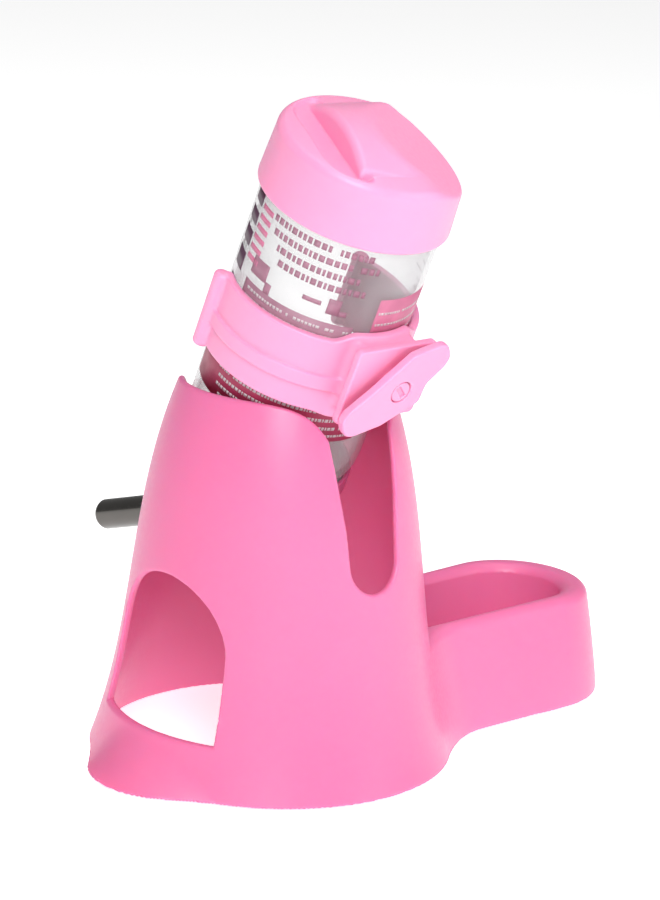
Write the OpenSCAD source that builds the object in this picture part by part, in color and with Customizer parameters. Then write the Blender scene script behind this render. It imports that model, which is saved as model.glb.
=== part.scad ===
// Small-animal water bottle on a moulded stand: a clear bottle leans in a hollow hut tower,
// its bent steel drinking tube leaves through one side slot, and a food bowl joins the back.
// Millimetres, +Z up. The doorway faces -Y, the food bowl lies towards +Y, the drinking tube
// points to -X and the cage clip faces +X.

/* [Hut tower] */
// Outer radius of the tower where it meets the floor
base_r = 46.8; // [45:0.1:49]
// Height of the tower's rim
rim_h = 96.9; // [94:0.1:98]
// Wall thickness of the tower at the floor
tower_wall = 2.3; // [1.8:0.1:2.6]
// Half width of the doorway
door_hw = 19.6; // [16:0.1:21]
// Height of the door sill
sill_h = 13; // [10:0.5:15]
// Height of the top of the doorway
door_top = 51.8; // [46:0.1:56]
// Half width of the two side slots at the bottom
slot_hw = 7.9; // [7:0.1:9]
// Height of the bottom of the side slots
slot_z = 49.6; // [45:0.1:50]
// Radius of the front foot where it meets the floor
foot_r = 22.5; // [20:0.1:24]

/* [Food bowl] */
// Half width of the bowl at its rim
bowl_hw = 20.9; // [19:0.1:22]
// Half width of the bowl's skirt at the floor
bowl_foot_hw = 26.6; // [24:0.1:28]
// Height of the bowl's rim
bowl_h = 28.7; // [24:0.1:32]
// Distance from the tower's axis to the centre of the bowl's round end
bowl_y = 86.4; // [70:0.1:95]
// Height of the bowl's inner floor
bowl_floor = 4; // [3:0.5:8]

/* [Bottle] */
// Outer radius of the clear bottle
bottle_r = 22.8; // [22:0.1:22.8]
// Wall thickness of the bottle
bottle_wall = 1.2; // [1:0.1:1.6]
// Lean of the bottle from the vertical, in degrees
tilt = 22.7; // [22:0.1:23]
// Outer radius of the refill cap
cap_r = 24.4; // [24.4:0.1:26]
// Width of the refill cap's arched grip bar
grip_w = 22.6; // [16:0.1:26]
// Station along the bottle of the grip bar's top
grip_top = 171.1; // [169:0.1:174]

/* [Drinking tube] */
// Outer radius of the steel tube
tube_r = 4.1; // [3.8:0.05:4.2]
// Angle of the tube's long leg below the horizontal, in degrees
tube_dip = 17.3; // [12:0.1:22]
// Radius of the bend's centre line
bend_r = 10; // [9:0.5:11]
// Length of the straight leg after the bend
tube_leg = 56.7; // [45:0.1:60]

/* [Cage clip] */
// Height of the clip band along the bottle
band_h = 20; // [18:0.5:20]
// Thickness of the clip band
band_t = 2.2; // [1.8:0.1:2.4]
// Thickness of the turn latch
latch_t = 2.2; // [1.8:0.1:2.6]

/* [Hidden] */
$fn = 96;
bottle_x = 3.0;                       // where the bottle's axis crosses the height of 100
slot_y = 0.8;                         // the slots sit a little towards the bowl
corner_s = 58.8;                      // station along the bottle's axis of the tube's virtual corner
turn = 90 - tube_dip - tilt;          // how far the tube bends
bend_tan = bend_r * tan(turn / 2);
bend_s = corner_s + bend_tan;         // station where the bend starts
foot_y = -32;                         // centre of the front foot's cone
bowl_end = bowl_y + bowl_hw;
tube_in = tube_r - 0.5;               // inner radius of the tube
ball_r = tube_in - 0.05;              // the ball runs in the tube
tip_hole = tube_in - 0.62;            // the rolled-in mouth of the tube
// point on the bottle's axis at station s, in the stand's axes
function axis_pt(s) = [bottle_x + (s - 100) * sin(tilt), 0, 100 + (s - 100) * cos(tilt)];
leg_start = axis_pt(corner_s) + bend_tan * [-cos(tube_dip), 0, -sin(tube_dip)];
tip = leg_start + tube_leg * [-cos(tube_dip), 0, -sin(tube_dip)];
x_lo = tip[0] - (tube_r - 1.1) * sin(tube_dip);
x_hi = axis_pt(164.6)[0] + cap_r * cos(tilt);
y_lo = foot_y - foot_r;
y_hi = 84.2 + bowl_foot_hw;
shift = [-(x_lo + x_hi) / 2, -(y_lo + y_hi) / 2, 0];   // puts the origin under the middle of the whole object

// outer radius of the tower at height z: a cone with a waist that bellies above the doorway
function tower_r(z) = base_r - 0.3557 * z + 0.00486 * z * z - 0.0000347 * z * z * z;
function tower_in(z) = tower_r(z) - (tower_wall - 0.7 * z / rim_h);
// top edge of the tower beside a slot, u from the slot's middle plane
function funnel(u) = rim_h - 8.9 * exp(-(u - 10.3) / 4);

module placed() { translate(shift) children(); }
// bottle axes: +Z along the bottle (station s), +X away from the tower towards the clip
module leaning() {
  placed() translate([bottle_x, 0, 100]) rotate([0, tilt, 0]) translate([0, 0, -100]) children();
}

module tower_outer(inset = 0, top = rim_h) {
  rotate_extrude() polygon(concat([[0, 0]], [for (i = [0:16]) let (z = top * i / 16) [tower_r(z) - inset, z]], [[0, top]]));
}
module slot_profile() {
  // drawn with x along the stand's Y and y along Z
  union() {
    translate([0, slot_z + slot_hw]) circle(slot_hw);
    polygon(concat(
      [[-slot_hw, slot_z + slot_hw], [-9.9, 84], [-10.3, 88]],
      [for (i = [1:14]) let (u = 10.3 + pow(i / 14, 1.6) * 20) [-u, funnel(u)]],
      [[-31, rim_h + 6], [31, rim_h + 6]],
      [for (i = [14:-1:1]) let (u = 10.3 + pow(i / 14, 1.6) * 20) [u, funnel(u)]],
      [[10.3, 88], [9.9, 84], [slot_hw, slot_z + slot_hw]]));
  }
}
module door_profile() {
  union() {
    translate([0, door_top - door_hw]) circle(door_hw);
    polygon([[-door_hw, door_top - door_hw], [-door_hw - 1.2, sill_h], [door_hw + 1.2, sill_h], [door_hw, door_top - door_hw]]);
  }
}

// Hollow tower of the stand: bottomless, doorway at the front, open slots left and right, a flared foot in front
module hut_tower() {
  color([0.98, 0.57, 0.73]) placed() difference() {
    union() {
      tower_outer();
      translate([0, foot_y, 0]) cylinder(h = 12, r1 = foot_r, r2 = 8.4);
    }
    rotate_extrude() polygon(concat([[0, -1]], [[tower_in(0), -1]],
      [for (i = [0:16]) let (z = (rim_h + 2) * i / 16) [tower_in(z), z]], [[0, rim_h + 2]]));
    translate([0, foot_y, -0.01]) cylinder(h = 10, r1 = foot_r - 2.3, r2 = 8.6);
    translate([-60, slot_y, 0]) rotate([90, 0, 90]) linear_extrude(120) slot_profile();
    translate([0, -12, 0]) rotate([90, 0, 0]) linear_extrude(50) door_profile();
  }
}

// rounded plan slices of the bowl, from the tower's axis to the round end
module slice(z, r, ye, h = 0.02) {
  translate([0, 24, z]) cylinder(h = h, r = r, $fn = 48);
  translate([0, ye, z]) cylinder(h = h, r = r, $fn = 72);
}
// Food bowl: the same moulding as the tower, a deep trough inside a skirt that reaches the floor
module food_bowl() {
  color([0.98, 0.57, 0.73]) placed() difference() {
    hull() {
      slice(0, bowl_foot_hw, 84.2);
      slice(14, bowl_foot_hw - 2.6, bowl_y - 0.6);
      slice(bowl_h - 3.2, bowl_hw, bowl_y);
      slice(bowl_h - 1.4, bowl_hw - 0.8, bowl_y);
      slice(bowl_h - 0.4, bowl_hw - 2.1, bowl_y);
      slice(bowl_h - 0.02, bowl_hw - 3.6, bowl_y);
    }
    // space under the trough, open to the floor
    difference() {
      hull() {
        slice(-1, bowl_foot_hw - 2.3, 84.2);
        slice(bowl_h - 3, bowl_hw - 2.6, bowl_y);
      }
      hull() {
        slice(bowl_floor - 2.2, bowl_hw - 5.2, bowl_y - 3);
        slice(bowl_h, bowl_hw - 3.9, bowl_y - 1);
      }
    }
    // the trough itself, opening a little towards its rim
    hull() {
      slice(bowl_floor, bowl_hw - 9.5, bowl_y - 4);
      slice(bowl_floor + 3, bowl_hw - 7.4, bowl_y - 3);
      slice(bowl_h - 2, bowl_hw - 6.1, bowl_y - 1.8);
      slice(bowl_h + 1, bowl_hw - 5.2, bowl_y - 1.6);
    }
    tower_outer(0.6, bowl_h + 4);
  }
}

// Clear bottle: straight body, wide threaded mouth at the top, short threaded neck below
module bottle() {
  color([0.86, 0.9, 0.93, 0.45]) leaning() rotate_extrude() polygon([
    [20.4, 72], [20.4, 75], [20.9, 75.4], [20.9, 76.2], [20.4, 76.6], [20.4, 78], [21.6, 79.2], [22.4, 81.4], [bottle_r, 84.6],
    [bottle_r, 148.6], [21.6, 149], [21.6, 150.8], [22.2, 151.3], [22.2, 152.3], [21.6, 152.8], [21.6, 154.4],
    [22.2, 154.9], [22.2, 155.9], [21.6, 156.4], [21.6, 158.2],
    [21.6 - bottle_wall, 158.2], [21.6 - bottle_wall, 148.2], [bottle_r - bottle_wall, 146.6],
    [bottle_r - bottle_wall, 85], [21.1, 82], [20.2, 80], [19.2, 78.6], [19.2, 72]]);
}

// Refill cap: tapered skirt, low crown, an arched grip bar, a finger pocket in front of the bar and a finger slope behind it
module refill_cap() {
  color([0.99, 0.7, 0.84]) leaning() difference() {
    union() {
      rotate_extrude() polygon([
        [22.6, 149.3], [cap_r - 0.5, 149.3], [cap_r, 149.8], [cap_r - 0.8, 163.4], [cap_r - 1.2, 164.5], [cap_r - 2.2, 165.1],
        [17, 166.5], [11.3, 167.4], [0, 167.6], [0, 159.4], [22.6, 159.4]]);
      intersection() {
        rotate([0, 0, -107]) translate([-23, -19.5, 163]) cube([23 + grip_w / 2, 37, 10]);
        translate([0, 0, grip_top - 32]) rotate([0, 0, -94]) rotate([0, 90, 0]) cylinder(h = 60, r = 32, center = true, $fn = 160);
        translate([0, 0, 160]) cylinder(h = 20, r = cap_r - 1.4);
      }
    }
    // finger pocket
    rotate([0, 0, -107]) intersection() {
      translate([grip_w / 2, -20, 164.6]) cube([17.4 - grip_w / 2, 40, 9]);
      translate([0, 0, 160]) cylinder(h = 20, r = 21.4);
    }
    // finger slope
    rotate([0, 0, -24.9]) translate([0, 22.9, 160.5]) rotate([-22.3, 0, 0]) translate([-60, -60, 0]) cube([120, 120, 40]);
  }
}
// Flat gasket pressed between the refill cap and the bottle's mouth
module refill_cap_seal() {
  color([0.93, 0.93, 0.9]) leaning() translate([0, 0, 158.2]) difference() {
    cylinder(h = 1.2, r = 22.3);
    translate([0, 0, -1]) cylinder(h = 4, r = 18.2);
  }
}

// Drinking cap: screws onto the lower neck and carries the tube in a round socket
module drinking_cap() {
  color([0.98, 0.57, 0.73]) leaning() rotate_extrude() polygon([
    [21.25, 77.6], [21.9, 77.6], [22.2, 77.2], [22.2, 72.2], [21.2, 70.6], [8, 66.6], [7.4, 65],
    [6, 65], [6, 68.6], [19.4, 70.9], [21.25, 70.9]]);
}
// Ring gasket between the drinking cap and the neck's end
module drinking_cap_seal() {
  color([0.93, 0.93, 0.9]) leaning() translate([0, 0, 70.9]) difference() {
    cylinder(h = 1.1, r = 21.2);
    translate([0, 0, -1]) cylinder(h = 4, r = 17.6);
  }
}
// Soft bush that holds the steel tube in the drinking cap's socket
module tube_bush() {
  color([0.9, 0.9, 0.88]) leaning() difference() {
    union() {
      translate([0, 0, 65.2]) cylinder(h = 5.2, r = 5.95);
      translate([0, 0, 69.2]) cylinder(h = 1.8, r = 8.2);
    }
    translate([0, 0, 60]) cylinder(h = 14, r = tube_r + 0.05);
  }
}

module tube_ring(outer, inner) { difference() { circle(outer); circle(inner); } }
// local axes of the long leg: +Z along the tube towards the mouth
module on_leg() { placed() translate(leg_start) rotate([0, -90 - tube_dip, 0]) children(); }
// Bent steel drinking tube, flared at the inner end and rolled in at the mouth
module drinking_tube() {
  color([0.45, 0.46, 0.48]) {
    leaning() {
      translate([0, 0, bend_s]) linear_extrude(72.6 - bend_s) tube_ring(tube_r, tube_in);
      translate([0, 0, 71.2]) difference() { cylinder(h = 1.4, r = 5.6); translate([0, 0, -1]) cylinder(h = 4, r = tube_in); }
      translate([-bend_r, 0, bend_s]) rotate([-90, 0, 0]) rotate_extrude(angle = turn) translate([bend_r, 0]) tube_ring(tube_r, tube_in);
    }
    // the leg's spigot reaches 0.5 into the bend's wall, so the two are one piece
    on_leg() rotate_extrude() polygon([
      [tube_in + 0.06, -0.5], [tube_r - 0.06, -0.5], [tube_r - 0.06, 0.01], [tube_r, 0.01], [tube_r, tube_leg - 1.1], [tube_r - 0.35, tube_leg - 0.3], [tube_r - 1.1, tube_leg],
      [tip_hole, tube_leg], [tip_hole, tube_leg - 0.45], [tube_in, tube_leg - 1.1], [tube_in, 0.01], [tube_in + 0.06, 0.01]]);
  }
}
// Ball that closes the mouth, with a second ball behind it
module front_ball() {
  color([0.75, 0.76, 0.78]) on_leg() translate([0, 0, tube_leg - 1.25 - 1.5]) sphere(r = ball_r);
}
module rear_ball() {
  color([0.75, 0.76, 0.78]) on_leg() translate([0, 0, tube_leg - 1.25 - 1.5 - 2 * ball_r - 0.3]) sphere(r = ball_r);
}

// Clip band: a springy C round the bottle with a raised rib, thick end bars and a flat plate for the cage wires
module clip_band() {
  ri = bottle_r + 0.12; ro = ri + band_t;
  color([0.99, 0.7, 0.84]) leaning() {
    difference() {
      union() {
        translate([0, 0, 104]) cylinder(h = band_h, r = ro);
        translate([0, 0, 110.6]) cylinder(h = 3.8, r = ro + 0.8);
        // block that carries the plate
        translate([ri, -9, 106.2]) cube([28.2 - ri, 18, 19.4]);
      }
      translate([0, 0, 90]) cylinder(h = 60, r = ri);
      // room for the pin's snap collar, and its way through to the plate
      translate([25.2, 1.2, 116]) rotate([0, 90, 0]) cylinder(h = 2.4, r = 2.7);
      translate([25.2, 1.2, 116]) rotate([0, 90, 0]) cylinder(h = 8, r = 2.02);
      // the C's opening, towards the drinking tube's side
      translate([0, 0, 90]) linear_extrude(60) polygon([[0, 0], [-60 * cos(62), -60 * sin(62)], [-70, 0], [-60 * cos(62), 60 * sin(62)]]);
    }
    for (m = [-1, 1]) translate([-cos(62) * (ro + 0.4), m * sin(62) * (ro + 0.4), 104]) cylinder(h = band_h, r = 1.9);
    // plate and the boss behind the latch
    difference() {
      union() {
        translate([28, -12.7, 105.6]) cube([2, 25.4, 21]);
        translate([30, 1.2, 116]) rotate([0, 90, 0]) cylinder(h = 1.6, r = 4.2);
      }
      translate([26, 1.2, 116]) rotate([0, 90, 0]) cylinder(h = 8, r = 2.02);
    }
  }
}
// Turn latch: flat lever that swings across the cage wires and traps them against the plate
module turn_latch() {
  color([0.99, 0.7, 0.84]) leaning() translate([31.9, 1.2, 116]) rotate([0, 90, 0]) rotate([0, 0, 180]) difference() {
    // drawn with x along the bottle's axis and y sideways, seen from outside
    linear_extrude(latch_t) polygon([[-4.2, 15.4], [-6.6, 16.2], [-9.3, 15], [-11.2, 13.3], [-11.4, 11.0], [-9.5, 2.8], [-5.6, -4.2],
      [-4, -7.5], [1.3, -7.9], [6, -12.2], [8.4, -12.9], [10.5, -11.9], [12.2, -10.6], [12.6, -8.9], [10.6, -0.5], [1.5, 8.7]]);
    translate([0, 0, -1]) cylinder(h = 6, r = 2.05);
    // seat of the pin's flush head
    translate([0, 0, latch_t - 0.9]) cylinder(h = 3, r = 3);
  }
}
// Push-in pin that the latch turns on, its flush head slotted
module latch_pin() {
  color([0.99, 0.7, 0.84]) leaning() translate([0, 1.2, 116]) rotate([0, 90, 0]) difference() {
    rotate_extrude() polygon([
      [0, 25.4], [2.1, 25.4], [2.5, 26.2], [2.5, 27.4], [1.96, 27.4], [1.96, 33.3], [2.7, 33.3], [2.7, 33.8], [2.5, 34], [0, 34]]);
    rotate([0, 0, 42]) translate([-1.9, -0.6, 33.5]) cube([3.8, 1.2, 2]);
  }
}

hut_tower();
food_bowl();
bottle();
refill_cap();
refill_cap_seal();
drinking_cap();
drinking_cap_seal();
drinking_tube();
tube_bush();
front_ball();
rear_ball();
clip_band();
turn_latch();
latch_pin();
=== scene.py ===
import bpy, math
import numpy as np
from mathutils import Matrix, Vector


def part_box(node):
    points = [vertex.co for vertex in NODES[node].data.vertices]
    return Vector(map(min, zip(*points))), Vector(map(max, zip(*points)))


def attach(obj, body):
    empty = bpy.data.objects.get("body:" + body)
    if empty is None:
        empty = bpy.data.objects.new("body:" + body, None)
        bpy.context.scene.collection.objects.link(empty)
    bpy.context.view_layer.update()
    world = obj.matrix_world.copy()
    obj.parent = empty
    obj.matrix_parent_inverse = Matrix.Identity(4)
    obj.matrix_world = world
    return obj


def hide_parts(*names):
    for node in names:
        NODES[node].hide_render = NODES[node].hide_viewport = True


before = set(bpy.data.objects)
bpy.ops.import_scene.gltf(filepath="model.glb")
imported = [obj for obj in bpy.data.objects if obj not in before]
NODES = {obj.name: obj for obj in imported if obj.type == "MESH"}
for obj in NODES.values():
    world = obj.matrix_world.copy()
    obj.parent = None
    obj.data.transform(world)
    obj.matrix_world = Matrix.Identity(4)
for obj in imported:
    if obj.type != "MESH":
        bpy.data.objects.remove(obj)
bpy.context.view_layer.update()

# ---------------------------------------------------------------- frame of the design, millimetres
# Everything below is worked out in the stand's own axes (tower axis at x = y = 0) and moved by OFF.
blo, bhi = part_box("hut_tower")
OFF = np.array([bhi.x * 1000 - 46.8, blo.y * 1000 + 54.5, 0.0])
TILT = math.radians(22.7)
N = np.array([math.cos(TILT), 0.0, -math.sin(TILT)])
Y = np.array([0.0, 1.0, 0.0])
S = np.array([math.sin(TILT), 0.0, math.cos(TILT)])
B0 = np.array([3.0, 0.0, 100.0])
ROT = np.stack([N, Y, S])            # rows: bottle axes


def from_bottle(q):
    """(n, y, s) in bottle axes -> design axes, mm"""
    q = np.asarray(q, float)
    return B0 + q[..., 0:1] * N + q[..., 1:2] * Y + (q[..., 2:3] - 100.0) * S


def to_bottle(p):
    d = p - B0
    return d @ N, p[:, 1], d @ S + 100.0


# ---------------------------------------------------------------- signed distance helpers
def r_int(a, b, r):
    return np.minimum(-r, np.maximum(a, b)) + np.hypot(np.maximum(r + a, 0), np.maximum(r + b, 0))


def r_uni(a, b, r):
    return np.maximum(r, np.minimum(a, b)) - np.hypot(np.maximum(r - a, 0), np.maximum(r - b, 0))


def s_min(a, b, k):
    h = np.maximum(k - np.abs(a - b), 0) / k
    return np.minimum(a, b) - h * h * k * 0.25


def box2(x, y, hx, hy, r):
    qx = np.abs(x) - hx + r
    qy = np.abs(y) - hy + r
    return np.hypot(np.maximum(qx, 0), np.maximum(qy, 0)) + np.minimum(np.maximum(qx, qy), 0) - r


def chaikin(pts, n=2):
    p = np.asarray(pts, float)
    for _ in range(n):
        q = np.roll(p, -1, axis=0)
        p = np.stack([0.75 * p + 0.25 * q, 0.25 * p + 0.75 * q], 1).reshape(-1, 2)
    return p


def poly_field(pts, lo, hi, step=0.25):
    """signed distance of a closed outline, sampled once on a grid and read back smoothly"""
    p = np.asarray(pts, float)
    q = np.roll(p, -1, axis=0)
    xs = np.arange(lo[0], hi[0] + step, step)
    ys = np.arange(lo[1], hi[1] + step, step)
    gx, gy = np.meshgrid(xs, ys, indexing="ij")
    best = np.full(gx.shape, 1e9)
    inside = np.zeros(gx.shape, bool)
    for a, b in zip(p, q):
        e = b - a
        t = np.clip(((gx - a[0]) * e[0] + (gy - a[1]) * e[1]) / max(e @ e, 1e-12), 0, 1)
        best = np.minimum(best, (gx - a[0] - t * e[0]) ** 2 + (gy - a[1] - t * e[1]) ** 2)
        c = (a[1] > gy) != (b[1] > gy)
        if abs(e[1]) > 1e-12:
            inside ^= c & (gx < (gy - a[1]) / e[1] * e[0] + a[0])
    d = np.sqrt(best) * np.where(inside, -1, 1)

    def read(x, y):
        fx = np.clip((x - lo[0]) / step, 0, len(xs) - 1.001)
        fy = np.clip((y - lo[1]) / step, 0, len(ys) - 1.001)
        i = fx.astype(int); j = fy.astype(int)
        u = fx - i; v = fy - j
        return (d[i, j] * (1 - u) * (1 - v) + d[i + 1, j] * u * (1 - v)
                + d[i, j + 1] * (1 - u) * v + d[i + 1, j + 1] * u * v)
    return read


def surface(f, lo, hi, h, newton=4):
    """surface nets over the zero set of f, then each vertex is moved onto the true surface"""
    lo = np.asarray(lo, float) - 2 * h
    hi = np.asarray(hi, float) + 2 * h
    c = 4
    nb = np.ceil((hi - lo) / (h * c)).astype(int)
    n = nb * c + 1
    bc = [lo[i] + (np.arange(nb[i]) + 0.5) * h * c for i in range(3)]
    g = np.stack(np.meshgrid(*bc, indexing="ij"), -1).reshape(-1, 3)
    v = f(g).reshape(nb)
    act = np.abs(v) < h * c * 1.25
    F = np.repeat(np.repeat(np.repeat(np.where(v > 0, 9.0, -9.0).astype(np.float32), c, 0), c, 1), c, 2)
    F = np.pad(F, ((0, 1), (0, 1), (0, 1)), mode="edge")
    need = np.zeros(n, bool)
    idx = np.argwhere(act)
    for dx in range(c + 1):
        for dy in range(c + 1):
            for dz in range(c + 1):
                need[idx[:, 0] * c + dx, idx[:, 1] * c + dy, idx[:, 2] * c + dz] = True
    q = np.argwhere(need)
    F[q[:, 0], q[:, 1], q[:, 2]] = f(lo + q * h)
    I = F < 0
    cnt = np.zeros(n - 1, np.int8)
    for dx in (0, 1):
        for dy in (0, 1):
            for dz in (0, 1):
                cnt += I[dx:n[0] - 1 + dx, dy:n[1] - 1 + dy, dz:n[2] - 1 + dz]
    cells = np.argwhere((cnt > 0) & (cnt < 8))
    vid = np.full(n - 1, -1, np.int64)
    vid[cells[:, 0], cells[:, 1], cells[:, 2]] = np.arange(len(cells))
    corners = [(0, 0, 0), (1, 0, 0), (0, 1, 0), (1, 1, 0), (0, 0, 1), (1, 0, 1), (0, 1, 1), (1, 1, 1)]
    vals = np.stack([F[cells[:, 0] + a, cells[:, 1] + b, cells[:, 2] + e] for a, b, e in corners], 1)
    acc = np.zeros((len(cells), 3)); num = np.zeros(len(cells))
    for i in range(8):
        for j in range(i + 1, 8):
            ca, cb = np.array(corners[i]), np.array(corners[j])
            if abs(ca - cb).sum() != 1:
                continue
            m = (vals[:, i] < 0) != (vals[:, j] < 0)
            t = vals[:, i] / np.where(m, vals[:, i] - vals[:, j], 1)
            acc += np.where(m[:, None], ca + t[:, None] * (cb - ca), 0)
            num += m
    P = lo + (cells + acc / num[:, None]) * h
    quads = []
    for ax in range(3):
        a = [slice(None)] * 3; b = [slice(None)] * 3
        a[ax] = slice(0, n[ax] - 1); b[ax] = slice(1, n[ax])
        diff = I[tuple(a)] != I[tuple(b)]
        e = np.argwhere(diff)
        o1, o2 = (ax + 1) % 3, (ax + 2) % 3
        e = e[(e[:, o1] > 0) & (e[:, o2] > 0) & (e[:, o1] < n[o1] - 1) & (e[:, o2] < n[o2] - 1)]
        ins = I[e[:, 0], e[:, 1], e[:, 2]]
        d1 = np.zeros(3, int); d1[o1] = 1
        d2 = np.zeros(3, int); d2[o2] = 1
        k = [e - d1 - d2, e - d2, e, e - d1]
        w = np.stack([vid[t[:, 0], t[:, 1], t[:, 2]] for t in k], 1)
        w[~ins] = w[~ins][:, ::-1]
        quads.append(w)
    quads = np.concatenate(quads)
    quads = quads[(quads >= 0).all(1)]
    eps = 0.02
    def grad(p):
        return np.stack([f(p + d) - f(p - d) for d in np.eye(3) * eps], 1) / (2 * eps)
    for _ in range(newton):
        G = grad(P); val = f(P)
        P = P - np.clip(val / np.maximum((G * G).sum(1), 0.25), -0.6 * h, 0.6 * h)[:, None] * G
    G = grad(P)
    G /= np.maximum(np.linalg.norm(G, axis=1), 1e-9)[:, None]
    return P, quads, G


def keep_big(P, Q, G):
    """drops stray islands: keeps the largest connected surface"""
    par = np.arange(len(P))
    e = np.concatenate([Q[:, [0, 1]], Q[:, [1, 2]], Q[:, [2, 3]]])
    for _ in range(200):
        m = np.minimum(par[e[:, 0]], par[e[:, 1]])
        new = par.copy()
        np.minimum.at(new, e[:, 0], m); np.minimum.at(new, e[:, 1], m)
        new = new[new]
        if (new == par).all():
            break
        par = new
    lab, cnt = np.unique(par[Q[:, 0]], return_counts=True)
    big = lab[cnt > 0.02 * cnt.sum()]
    ok = np.isin(par[Q[:, 0]], big)
    Q = Q[ok]
    used = np.unique(Q)
    mp = np.full(len(P), -1); mp[used] = np.arange(len(used))
    return P[used], mp[Q], G[used]


def make(name, P, faces, body, mats, replaces=(), normals=None, local=False):
    P = np.asarray(P, float)
    if local:
        P = from_bottle(P)
    me = bpy.data.meshes.new(name)
    co = (P + OFF) / 1000.0
    me.from_pydata(co.tolist(), [], [list(map(int, f)) for f in faces])
    me.validate()
    me.update()
    for p in me.polygons:
        p.use_smooth = True
    if normals is not None and len(me.vertices) == len(normals):
        nn = np.asarray(normals, float)
        if local:
            nn = nn[:, 0:1] * N + nn[:, 1:2] * Y + nn[:, 2:3] * S
        me.normals_split_custom_set_from_vertices(nn.tolist())
    ob = bpy.data.objects.new(name, me)
    bpy.context.scene.collection.objects.link(ob)
    for m in (mats if isinstance(mats, (list, tuple)) else [mats]):
        me.materials.append(m)
    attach(ob, body)
    if replaces:
        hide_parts(*replaces)
    return ob


def lathe(profile, seg=192, closed=True):
    """profile (r, s) -> points in bottle axes; closed ring of rings"""
    pr = np.asarray(profile, float)
    a = np.linspace(0, 2 * math.pi, seg, endpoint=False)
    P = np.stack([pr[:, 0:1] * np.cos(a), pr[:, 0:1] * np.sin(a), np.repeat(pr[:, 1:2], seg, 1)], -1)
    k = len(pr)
    F = []
    for i in range(k if closed else k - 1):
        j = (i + 1) % k
        for t in range(seg):
            u = (t + 1) % seg
            F.append((i * seg + t, i * seg + u, j * seg + u, j * seg + t))
    return P.reshape(-1, 3), F


def rounded(profile, r=0.3, n=4):
    """rounds the corners of a closed (r, s) outline; a third number on a point sets its own radius"""
    out = []
    k = len(profile)
    for i, p in enumerate(profile):
        rad = p[2] if len(p) > 2 else r
        a = np.array(profile[i - 1][:2], float); b = np.array(p[:2], float); c = np.array(profile[(i + 1) % k][:2], float)
        u = a - b; v = c - b
        lu, lv = np.linalg.norm(u), np.linalg.norm(v)
        t = min(rad, 0.45 * lu, 0.45 * lv)
        if t < 1e-4:
            out.append(b); continue
        p0 = b + u / lu * t; p1 = b + v / lv * t
        for j in range(n + 1):
            w = j / n
            out.append((1 - w) ** 2 * p0 + 2 * w * (1 - w) * b + w * w * p1)
    return out


# ---------------------------------------------------------------- materials
def lin(c):
    c = np.asarray(c, float) / 255.0
    return tuple(np.where(c <= 0.04045, c / 12.92, ((c + 0.055) / 1.055) ** 2.4)) + (1.0,)


def nodes_of(name):
    m = bpy.data.materials.new(name)
    m.use_nodes = True
    nt = m.node_tree
    b = nt.nodes["Principled BSDF"]
    return m, nt, b


def noise(nt, scale, detail=3.0, rough=0.5):
    tc = nt.nodes.new("ShaderNodeTexCoord")
    t = nt.nodes.new("ShaderNodeTexNoise")
    t.inputs["Scale"].default_value = scale
    t.inputs["Detail"].default_value = detail
    t.inputs["Roughness"].default_value = rough
    nt.links.new(tc.outputs["Object"], t.inputs["Vector"])
    return t


def ramp(nt, src, a, b, lo=0.35, hi=0.65):
    r = nt.nodes.new("ShaderNodeMapRange")
    r.inputs["From Min"].default_value = lo
    r.inputs["From Max"].default_value = hi
    r.inputs["To Min"].default_value = a
    r.inputs["To Max"].default_value = b
    nt.links.new(src, r.inputs["Value"])
    return r


def plastic(name, col, col2, rough=0.34, sss=0.12, radius=(1.0, 0.35, 0.5), scale=0.004, bump=0.005):
    m, nt, b = nodes_of(name)
    big = noise(nt, 22.0, 3.0)
    mix = nt.nodes.new("ShaderNodeMix"); mix.data_type = "RGBA"
    mix.inputs["A"].default_value = lin(col)
    mix.inputs["B"].default_value = lin(col2)
    f = ramp(nt, big.outputs["Fac"], 0.0, 1.0)
    nt.links.new(f.outputs["Result"], mix.inputs["Factor"])
    nt.links.new(mix.outputs["Result"], b.inputs["Base Color"])
    fine = noise(nt, 900.0, 2.0)
    rr = ramp(nt, fine.outputs["Fac"], rough - 0.04, rough + 0.05)
    nt.links.new(rr.outputs["Result"], b.inputs["Roughness"])
    bp = nt.nodes.new("ShaderNodeBump")
    bp.inputs["Strength"].default_value = bump
    bp.inputs["Distance"].default_value = 0.0004
    wav = noise(nt, 70.0, 2.0)
    add = nt.nodes.new("ShaderNodeMath"); add.operation = "MULTIPLY_ADD"
    nt.links.new(fine.outputs["Fac"], add.inputs[0]); add.inputs[1].default_value = 0.25
    nt.links.new(wav.outputs["Fac"], add.inputs[2])
    nt.links.new(add.outputs["Value"], bp.inputs["Height"])
    nt.links.new(bp.outputs["Normal"], b.inputs["Normal"])
    b.inputs["Subsurface Weight"].default_value = sss
    b.inputs["Subsurface Radius"].default_value = radius
    b.inputs["Subsurface Scale"].default_value = scale
    b.inputs["IOR"].default_value = 1.49
    return m


PINK = plastic("stand_pink", (227, 118, 164), (225, 114, 161), rough=0.34, sss=0.45, radius=(1.0, 0.2, 0.32), scale=0.005)
LILAC = plastic("cap_pink", (244, 156, 195), (243, 151, 191), rough=0.36, sss=0.35, radius=(1.0, 0.35, 0.5), scale=0.003)
RUBBER = plastic("seal_rubber", (232, 230, 222), (220, 218, 208), rough=0.6, sss=0.05)


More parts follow.
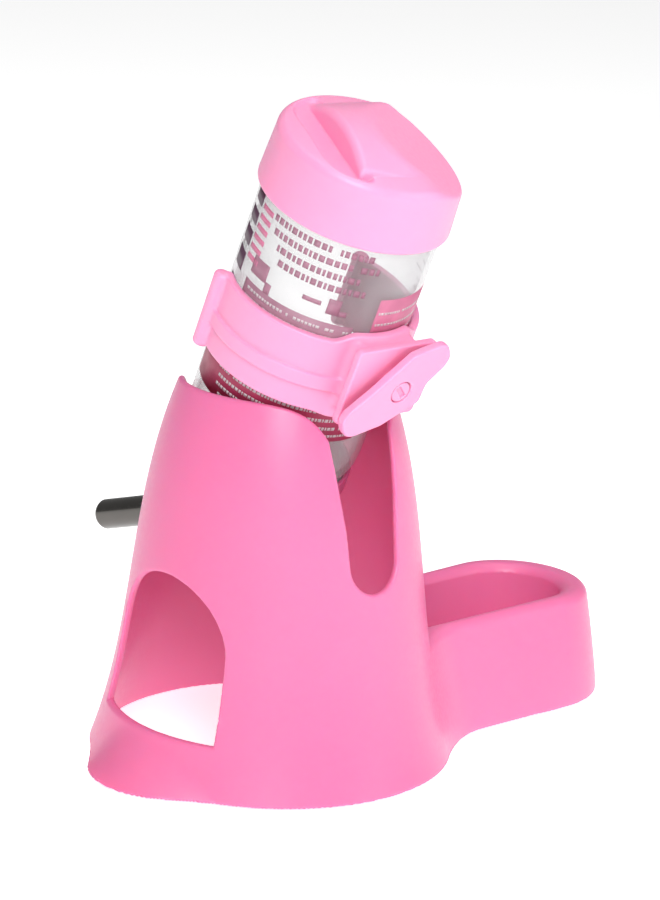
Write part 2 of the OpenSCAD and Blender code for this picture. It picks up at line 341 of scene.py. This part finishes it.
def clear_plastic():
    m, nt, b = nodes_of("clear_bottle")
    b.inputs["Base Color"].default_value = (0.66, 0.67, 0.68, 1)
    f = noise(nt, 120.0, 3.0)
    rr = ramp(nt, f.outputs["Fac"], 0.05, 0.10)
    nt.links.new(rr.outputs["Result"], b.inputs["Roughness"])
    # painted edge shade and reflection: alpha rises with the Layer Weight facing value, so the grey base colour shows
    # most where the surface turns away from the view, standing in for the reflection and refraction at a clear bottle's
    # edges
    lw = nt.nodes.new("ShaderNodeLayerWeight")
    lw.inputs["Blend"].default_value = 0.3
    al = ramp(nt, lw.outputs["Facing"], 0.07, 0.62, 0.0, 1.0)
    nt.links.new(al.outputs["Result"], b.inputs["Alpha"])
    b.inputs["IOR"].default_value = 1.45
    bp = nt.nodes.new("ShaderNodeBump")
    bp.inputs["Strength"].default_value = 0.05
    bp.inputs["Distance"].default_value = 0.0003
    w = noise(nt, 60.0, 2.0)
    nt.links.new(w.outputs["Fac"], bp.inputs["Height"])
    nt.links.new(bp.outputs["Normal"], b.inputs["Normal"])
    return m


CLEAR = clear_plastic()


def steel(name, col, rough):
    m, nt, b = nodes_of(name)
    b.inputs["Metallic"].default_value = 1.0
    f = noise(nt, 1400.0, 4.0, 0.7)
    g = noise(nt, 60.0, 3.0)
    mix = nt.nodes.new("ShaderNodeMix"); mix.data_type = "RGBA"
    mix.inputs["A"].default_value = lin(col)
    mix.inputs["B"].default_value = lin([c * 0.93 for c in col])
    fr = ramp(nt, g.outputs["Fac"], 0, 1)
    nt.links.new(fr.outputs["Result"], mix.inputs["Factor"])
    nt.links.new(mix.outputs["Result"], b.inputs["Base Color"])
    rr = ramp(nt, f.outputs["Fac"], rough * 0.8, rough * 1.3)
    nt.links.new(rr.outputs["Result"], b.inputs["Roughness"])
    return m


TUBE = steel("tube_steel", (100, 97, 94), 0.18)
BALL = steel("ball_steel", (215, 216, 218), 0.08)


# ---------------------------------------------------------------- the stand: tower, foot and bowl as one moulding
SY = 0.8


def slot_outline():
    u = 10.3 + (np.linspace(0, 1, 40) ** 1.6) * 24
    z = 96.9 - 8.9 * np.exp(-(u - 10.3) / 4.0)
    a = np.radians(np.linspace(180, 360, 33))
    bottom = np.stack([7.9 * np.cos(a), 57.5 + 7.9 * np.sin(a)], 1)
    right = [(8.3, 66), (9.2, 74), (9.7, 80), (10.3, 88)]
    top_r = np.stack([u, z], 1)[1:]
    top = [(40, 97), (40, 112), (-40, 112), (-40, 97)]
    top_l = (top_r * [-1, 1])[::-1]
    left = [(-x, y) for x, y in right][::-1]
    return np.concatenate([bottom, right, top_r, top, top_l, left])


SLOT = poly_field(slot_outline(), (-40, 40), (40, 112), 0.25)


def door_outline():
    a = np.radians(np.linspace(0, 180, 49))
    arc = np.stack([19.6 * np.cos(a), 32.2 + 19.6 * np.sin(a)], 1)
    return np.concatenate([[(20.8, 13)], arc, [(-20.8, 13)]])


DOOR = poly_field(door_outline(), (-40, -5), (40, 70), 0.25)


def stand_f(p):
    x, y, z = p[:, 0], p[:, 1], p[:, 2]
    zz = np.clip(z, -4, 108)
    r = np.hypot(x, y)
    R = 46.8 - 0.3557 * zz + 0.00486 * zz ** 2 - 0.0000347 * zz ** 3
    dR = -0.3557 + 0.00972 * zz - 0.0001041 * zz ** 2
    nm = 1 / np.sqrt(1 + dR * dR)
    d_out = (r - R) * nm
    d_in = (r - (R - (2.3 - 0.7 * zz / 96.9))) * nm
    rho = np.hypot(x - 0.4, y + 32)
    foot = (rho - (22.5 - 1.175 * z)) * 0.648
    body = r_uni(d_out, foot, 3.2)
    # bowl
    zb = np.clip(z, 0, 29) / 28.7
    Fw = np.interp(y, [20, 55, 66, 73, 80, 84.2], [25.4, 25.6, 25.8, 26.2, 26.6, 26.6])
    Tw = np.interp(y, [20, 52, 64, 75, 86.4], [19.6, 19.6, 19.5, 20.0, 20.5])
    g = 1 - zb ** 1.15
    W = Tw + (Fw - Tw) * g
    yb = 84.2 + 2.2 * zb
    We = 20.5 + (26.6 - 20.5) * g
    side = np.where(y < yb, np.abs(x) - W, np.hypot(x, y - yb) - We) * 0.975
    side = np.maximum(side, 22 - y)
    flared = r_uni(body, side, 10.0)
    ft = r_int(flared, z - 28.7, 2.4)
    zt = np.clip(z, 3, 30)
    Wt = np.interp(zt, [4, 7, 14, 26.7, 29.7], [11.6, 13.2, 14.0, 14.8, 15.6])
    yt = 83.2 + 0.05 * zt
    tr = np.where(y < yt, np.abs(x) - Wt, np.hypot(x, y - yt) - Wt)
    trough = r_int(tr, 4.0 - z, 3.0)
    bs = r_int(ft, -trough, 2.3)
    out = np.minimum(body, bs)
    void = np.maximum(np.maximum(flared + 2.2, z - 26.5), np.maximum(2.0 - trough, -body))
    tv = np.minimum(d_in, foot + 2.2)
    s = np.maximum(out, np.maximum(-void, -tv))
    s = r_int(s, -z, 0.5)
    door = np.maximum(DOOR(x, z), y + 6)
    s = r_int(s, -door, 0.8)
    s = r_int(s, -SLOT(y - SY, z), 0.72)
    return s


H = 0.6
P, Q, G = keep_big(*surface(stand_f, (-48, -56, 0), (48, 112, 98), H))
stand = make("stand_moulding", P, Q, "stand", PINK, ("hut_tower", "food_bowl"), G)


# ---------------------------------------------------------------- refill cap
def cap_f(p):
    n, y, s = p[:, 0], p[:, 1], p[:, 2]
    rho = np.hypot(n, y)
    skirt = (rho - (24.4 - (s - 149.3) * 0.055)) * 0.998
    crown = (s - (167.5 - 2.4 * (rho / 23.4) ** 2.4)) * 0.97
    base = r_int(skirt, crown, 1.7)
    w = -0.2924 * n - 0.9563 * y
    t = 0.9563 * n - 0.2924 * y
    pk = r_int(r_int(np.maximum(w - 17.4, 8.0 - w), rho - 21.4, 2.5), 164.7 - s, 1.0)
    base = r_int(base, -pk, 0.9)
    arch = np.hypot(n * 0.9976 - y * 0.0698, s - 139.1) - 32.0
    ends = np.maximum(np.abs(t + 1.0) - 18.5, rho - 22.9)
    bar = r_int(r_int(arch, w - 11.3, 2.0), ends, 0.8)
    bar = np.maximum(bar, 160 - s)
    top = s_min(base, bar, 0.35)
    # finger slope behind the bar
    yy = 0.4210 * n + 0.9070 * y
    slope = (yy - 22.9) * 0.3795 + (s - 160.5) * 0.9252
    top = r_int(top, slope, 0.9)
    top = r_int(top, 149.3 - s, 0.6)
    bore = np.maximum(rho - 22.6, s - 159.4)
    return r_int(top, -bore, 0.25)


P, Q, G = keep_big(*surface(cap_f, (-25, -25, 149), (25, 25, 172), 0.42))
cap = make("refill_cap_shell", P, Q, "refill_cap", LILAC, ("refill_cap",), G, local=True)


# ---------------------------------------------------------------- clip band with its plate
def band_f(p):
    n, y, s = p[:, 0], p[:, 1], p[:, 2]
    rho = np.hypot(n, y)
    ph = np.degrees(np.arctan2(y, n))
    aph = np.abs(ph)
    near = np.clip((34 - aph) / 16, 0, 1)
    near = near * near * (3 - 2 * near)
    lo = 104 - 1.2 * near
    hi = 124 + 2.6 * near
    shell = np.maximum(rho - 25.1, 22.92 - rho)
    band = r_int(shell, np.maximum(lo - s, s - hi), 0.6)
    rib = r_int(np.maximum(rho - 25.95, 23.5 - rho), np.abs(s - 112.5) - 2.0, 0.55)
    band = s_min(band, rib, 0.5)
    # opening of the C, towards the tube
    a = np.radians(np.clip(aph - 117, -80, 63))
    band = np.maximum(band, rho * np.sin(a))
    # end bars
    e = math.radians(117.0)
    qx = n - math.cos(e) * 25.6
    qy = np.abs(y) - math.sin(e) * 25.6
    bar = r_int(np.hypot(qx, qy) - 2.15, np.abs(s - 113.4) - 10.5, 1.1)
    d = s_min(band, bar, 1.2)
    blk = np.maximum(r_int(np.abs(y) - 9.0, np.abs(s - 115.8) - 9.6, 1.5), np.maximum(22.95 - rho, n - 28.4))
    d = s_min(d, blk, 1.6)
    d = np.maximum(d, 22.92 - rho)
    plate = r_int(box2(y, s - 116.1, 12.7, 10.5, 1.4), np.abs(n - 29.0) - 1.0, 0.45)
    d = s_min(d, plate, 0.6)
    boss = r_int(np.hypot(y - 1.2, s - 116) - 4.2, np.abs(n - 30.0) - 1.6, 0.3)
    d = s_min(d, boss, 0.4)
    hole = np.hypot(y - 1.2, s - 116) - 2.02
    return r_int(d, -np.maximum(hole, 24.0 - n), 0.2)


P, Q, G = keep_big(*surface(band_f, (-15, -29, 102), (32, 29, 128), 0.4))
band = make("clip_band_moulding", P, Q, "clip", LILAC, ("clip_band",), G, local=True)

# ---------------------------------------------------------------- turn latch
LP = [(-4.2, -15.4), (-6.6, -16.2), (-9.3, -15.0), (-11.2, -13.3), (-11.4, -11.0), (-9.5, -2.8), (-5.6, 4.2), (-4.0, 7.5),
      (1.3, 7.9), (6.0, 12.2), (8.4, 12.9), (10.5, 11.9), (12.2, 10.6), (12.6, 8.9), (10.6, 0.5), (1.5, -8.7)]
LATCH = poly_field(rounded(LP, 1.0, 4), (-16, -20), (18, 18), 0.15)


def latch_f(p):
    n, y, s = p[:, 0], p[:, 1], p[:, 2]
    d2 = LATCH(s - 116, y - 1.2)
    d = r_int(d2, np.abs(n - 33.0) - 1.1, 0.4)
    hole = np.hypot(s - 116, y - 1.2)
    d = r_int(d, -np.maximum(hole - 3.0, 33.2 - n), 0.15)
    return r_int(d, 2.05 - hole, 0.15)


P, Q, G = keep_big(*surface(latch_f, (31.5, -17, 103), (34.5, 15, 130), 0.3))
latch = make("turn_latch_lever", P, Q, "latch", LILAC, ("turn_latch",), G, local=True)


def pin_f(p):
    n, y, s = p[:, 0], p[:, 1] - 1.2, p[:, 2] - 116
    r = np.hypot(y, s)
    shaft = np.maximum(r - 1.96, np.maximum(26 - n, n - 33.5))
    head = r_int(r - 2.7, np.abs(n - 33.65) - 0.35, 0.15)
    d = np.minimum(shaft, head)
    slotc = np.maximum(np.maximum(np.abs(0.743 * y + 0.669 * s) - 0.6, np.abs(-0.669 * y + 0.743 * s) - 1.9), 33.5 - n)
    d = r_int(d, -slotc, 0.1)
    barb = r_int(r - (2.5 - 0.28 * np.maximum(26.2 - n, 0)), np.abs(n - 26.4) - 1.0, 0.2)
    return np.minimum(d, barb)


P, Q, G = surface(pin_f, (25, -2.5, 112.5), (35.5, 4.5, 119.5), 0.2)
pin = make("latch_pin_head", P, Q, "clip", LILAC, ("latch_pin",), G, local=True)

# ---------------------------------------------------------------- bottle
prof = rounded([
    (20.4, 72), (20.4, 75, 0.2), (20.9, 75.4, 0.2), (20.9, 76.2, 0.2), (20.4, 76.6, 0.2), (20.4, 78, 0.6), (21.6, 79.2, 1.2),
    (22.4, 81.4, 1.2), (22.8, 84.6, 1.5), (22.8, 148.4, 0.5), (21.6, 149, 0.3), (21.6, 150.8, 0.2), (22.15, 151.3, 0.2),
    (22.15, 152.3, 0.2), (21.6, 152.8, 0.2), (21.6, 154.4, 0.2), (22.15, 154.9, 0.2), (22.15, 155.9, 0.2), (21.6, 156.4, 0.2),
    (21.6, 158.2, 0.3), (20.4, 158.2, 0.3), (20.4, 148.2, 1.0), (21.6, 146.6, 1.0), (21.6, 85, 1.5), (21.1, 82, 1.2),
    (20.2, 80, 1.0), (19.2, 78.6, 1.0), (19.2, 72, 0.3)], 0.3, 5)
P, F = lathe(prof, 192)
bottle = make("bottle_shell", P, F, "bottle", CLEAR, ("bottle",), None, local=True)

# ---------------------------------------------------------------- print on the bottle: generic blocks and rows, thin raised ink
def ink(name, col, alpha, rough=0.4):
    m, nt, b = nodes_of(name)
    f = noise(nt, 260.0, 3.0)
    mix = nt.nodes.new("ShaderNodeMix"); mix.data_type = "RGBA"
    mix.inputs["A"].default_value = lin(col)
    mix.inputs["B"].default_value = lin([c * 0.94 for c in col])
    fr = ramp(nt, f.outputs["Fac"], 0.0, 1.0)
    nt.links.new(fr.outputs["Result"], mix.inputs["Factor"])
    nt.links.new(mix.outputs["Result"], b.inputs["Base Color"])
    rr = ramp(nt, f.outputs["Fac"], rough, rough + 0.1)
    nt.links.new(rr.outputs["Result"], b.inputs["Roughness"])
    b.inputs["Alpha"].default_value = alpha
    return m


def ink_patches(name, rects, mat, r0=22.81, r1=22.84):
    P, F = [], []
    for a0, a1, s0, s1 in rects:
        k = max(2, int(abs(a1 - a0) / 2.5) + 1)
        base = len(P)
        for i in range(k + 1):
            a = math.radians(a0 + (a1 - a0) * i / k)
            for r in (r0, r1):
                for sv in (s0, s1):
                    P.append((r * math.cos(a), r * math.sin(a), sv))
        for i in range(k):
            u = base + 4 * i; v = u + 4
            F += [(u, u + 1, v + 1, v), (u + 2, v + 2, v + 3, u + 3), (u, v, v + 2, u + 2), (u + 1, u + 3, v + 3, v + 1)]
        e = base + 4 * k
        F += [(base, base + 2, base + 3, base + 1), (e, e + 1, e + 3, e + 2)]
    return make(name, P, F, "bottle", mat, (), None, local=True)


rng = np.random.default_rng(7)


def row(a0, a1, sm, hh, wmin=1.6, wmax=4.2, gap=1.1, skip=0.12):
    out, a = [], a0
    while a < a1:
        w = rng.uniform(wmin, wmax)
        if rng.random() > skip:
            out.append((a, min(a + w, a1), sm - hh / 2, sm + hh / 2))
        a += w + gap
    return out


MAUVE = ink("ink_mauve", (172, 118, 140), 0.75)
PLUM = ink("ink_plum", (84, 52, 74), 0.95)
ROSE = ink("ink_rose", (214, 122, 156), 0.85)
CRIMSON = ink("ink_crimson", (170, 50, 88), 0.97)
WHITE_INK = ink("ink_white", (205, 198, 200), 0.95)
mauve = row(-93, -20, 146.4, 1.7) + row(-90, -18, 143.2, 1.7) + row(-84, -28, 139.9, 1.7) + row(-80, -22, 136.7, 1.7)
mauve += [(-99, -84, 129.6, 134.2), (-84, -79, 127.4, 130.2), (-42, -34, 129.8, 134.0), (-34, -29, 129.8, 131.2), (-58, -46, 131.4, 132.6)]
ink_patches("ink_mauve_rows", mauve, MAUVE)
ink_patches("ink_mauve_band", [(-101, -22, 118.5, 127.4)], MAUVE, 22.805, 22.825)
ink_patches("ink_rose_bars", [(-108, -95, 131.6 + 2.7 * i, 133.0 + 2.7 * i) for i in range(6)], ROSE)
ink_patches("ink_rose_panel", [(-10, 42, 121.5, 135.6)], ROSE, 22.805, 22.825)
ink_patches("ink_plum_bars", [(-124, -110, a, b) for a, b in ((144.6, 148.2), (139.4, 142.8), (133.6, 137.6), (126.6, 131.6), (119.0, 123.6))]
            + [(-160, -150, a, b) for a, b in ((140, 146), (131, 136), (122, 127))], PLUM)
ink_patches("ink_label", [(-126, 8, 94.0, 110.0)], CRIMSON, 22.805, 22.825)
white = row(-97, -24, 125.6, 0.8, 1.0, 2.6, 0.7) + row(-97, -30, 123.4, 0.8, 1.0, 2.6, 0.7)
white += row(-8, 38, 131.6, 0.7, 0.9, 2.2, 0.7) + row(-8, 38, 128.4, 0.7, 0.9, 2.2, 0.7) + row(-8, 38, 125.4, 0.7, 0.9, 2.2, 0.7)
white += row(-98, 4, 102.6, 0.9, 1.0, 2.6, 0.7) + row(-96, 2, 100.2, 0.9, 1.0, 2.6, 0.7) + row(-96, 0, 97.8, 0.9, 1.0, 2.6, 0.7)
white += row(-92, 2, 95.6, 0.7, 1.0, 2.6, 0.7)
ink_patches("ink_white_rows", white, WHITE_INK, 22.83, 22.85)
# graduation marks
ink_patches("ink_graduations", [(60, 72 if i % 5 == 0 else 66, 96 + 2.5 * i - 0.2, 96 + 2.5 * i + 0.2) for i in range(20)], PLUM)

# ---------------------------------------------------------------- drinking cap with fine grip flutes
prof = rounded([
    (21.25, 77.6), (21.9, 77.6), (22.2, 77.2, 0.3), (22.2, 72.2, 0.8), (21.2, 70.6, 0.8), (8, 66.6, 1.2), (7.4, 65, 0.3),
    (6, 65, 0.2), (6, 68.6, 0.3), (19.4, 70.9, 0.3), (21.25, 70.9, 0.3)], 0.2, 4)
P, F = lathe(prof, 288)
rr = np.hypot(P[:, 0], P[:, 1])
flute = np.where((rr > 21.9) & (P[:, 2] > 71.6) & (P[:, 2] < 77.0), 0.16 * (0.5 + 0.5 * np.cos(72 * np.arctan2(P[:, 1], P[:, 0]))), 0)
P[:, :2] *= ((rr - flute) / rr)[:, None]
dcap = make("drinking_cap_shell", P, F, "spout", PINK, ("drinking_cap",), None, local=True)

# ---------------------------------------------------------------- CAD nodes that stay, with their own finish
for name, mat in (("refill_cap_seal", RUBBER), ("drinking_cap_seal", RUBBER), ("tube_bush", RUBBER),
                  ("drinking_tube", TUBE), ("front_ball", BALL), ("rear_ball", BALL)):
    o = NODES[name]
    o.data.materials.clear()
    o.data.materials.append(mat)

# ---------------------------------------------------------------- floor, light, camera
def plane(name, size, z, mat):
    me = bpy.data.meshes.new(name)
    s = size / 2
    me.from_pydata([(-s, -s, z), (s, -s, z), (s, s, z), (-s, s, z)], [], [(0, 1, 2, 3)])
    me.materials.append(mat)
    o = bpy.data.objects.new(name, me)
    bpy.context.scene.collection.objects.link(o)
    return o


FLOOR, nt, b = nodes_of("floor_pale")
b.inputs["Base Color"].default_value = (0.92, 0.92, 0.92, 1)
b.inputs["Roughness"].default_value = 0.6
b.inputs["Emission Color"].default_value = (1, 1, 1, 1)
b.inputs["Emission Strength"].default_value = 0.6
plane("floor", 40.0, -0.0004, FLOOR)

world = bpy.data.worlds.new("studio")
bpy.context.scene.world = world
world.use_nodes = True
bg = world.node_tree.nodes["Background"]
bg.inputs["Color"].default_value = (1, 1, 1, 1)
bg.inputs["Strength"].default_value = 0.26


def area(name, loc, target, size, power, color=(1, 1, 1)):
    L = bpy.data.lights.new(name, "AREA")
    L.shape = "RECTANGLE"; L.size = size[0]; L.size_y = size[1]
    L.energy = power; L.color = color
    o = bpy.data.objects.new(name, L)
    bpy.context.scene.collection.objects.link(o)
    o.location = loc
    d = Vector(target) - Vector(loc)
    o.rotation_euler = d.to_track_quat("-Z", "Y").to_euler()
    return o


area("key_soft", (0.82, -0.72, 0.9), (0.0, 0.0, 0.08), (0.5, 0.8), 14.5)
area("right_fill", (1.0, 0.55, 0.6), (0.0, 0.0, 0.08), (0.5, 0.8), 4.0)
area("top_soft", (0.1, 0.1, 1.4), (0.0, 0.0, 0.08), (0.9, 0.9), 5.8)

az, el, roll = math.radians(47.42732), math.radians(14.92549), math.radians(2.69457)
back = np.array([math.sin(az) * math.cos(el), -math.cos(az) * math.cos(el), math.sin(el)])
right = np.array([math.cos(az), math.sin(az), 0.0])
up = np.cross(back, right)
C = (np.array([526.38, -467.37, 266.39]) + OFF) / 1000.0
r2 = math.cos(roll) * right + math.sin(roll) * up
u2 = -math.sin(roll) * right + math.cos(roll) * up
cam = bpy.data.cameras.new("camera")
cam.sensor_fit = "HORIZONTAL"
cam.sensor_width = 36.0
cam.lens = 157.70
cam.clip_start = 0.05
cam.clip_end = 100
co = bpy.data.objects.new("camera", cam)
bpy.context.scene.collection.objects.link(co)
M = Matrix(((r2[0], u2[0], back[0], C[0]), (r2[1], u2[1], back[1], C[1]), (r2[2], u2[2], back[2], C[2]), (0, 0, 0, 1)))
co.matrix_world = M
bpy.context.scene.camera = co
bpy.context.scene.view_settings.view_transform = "Standard"
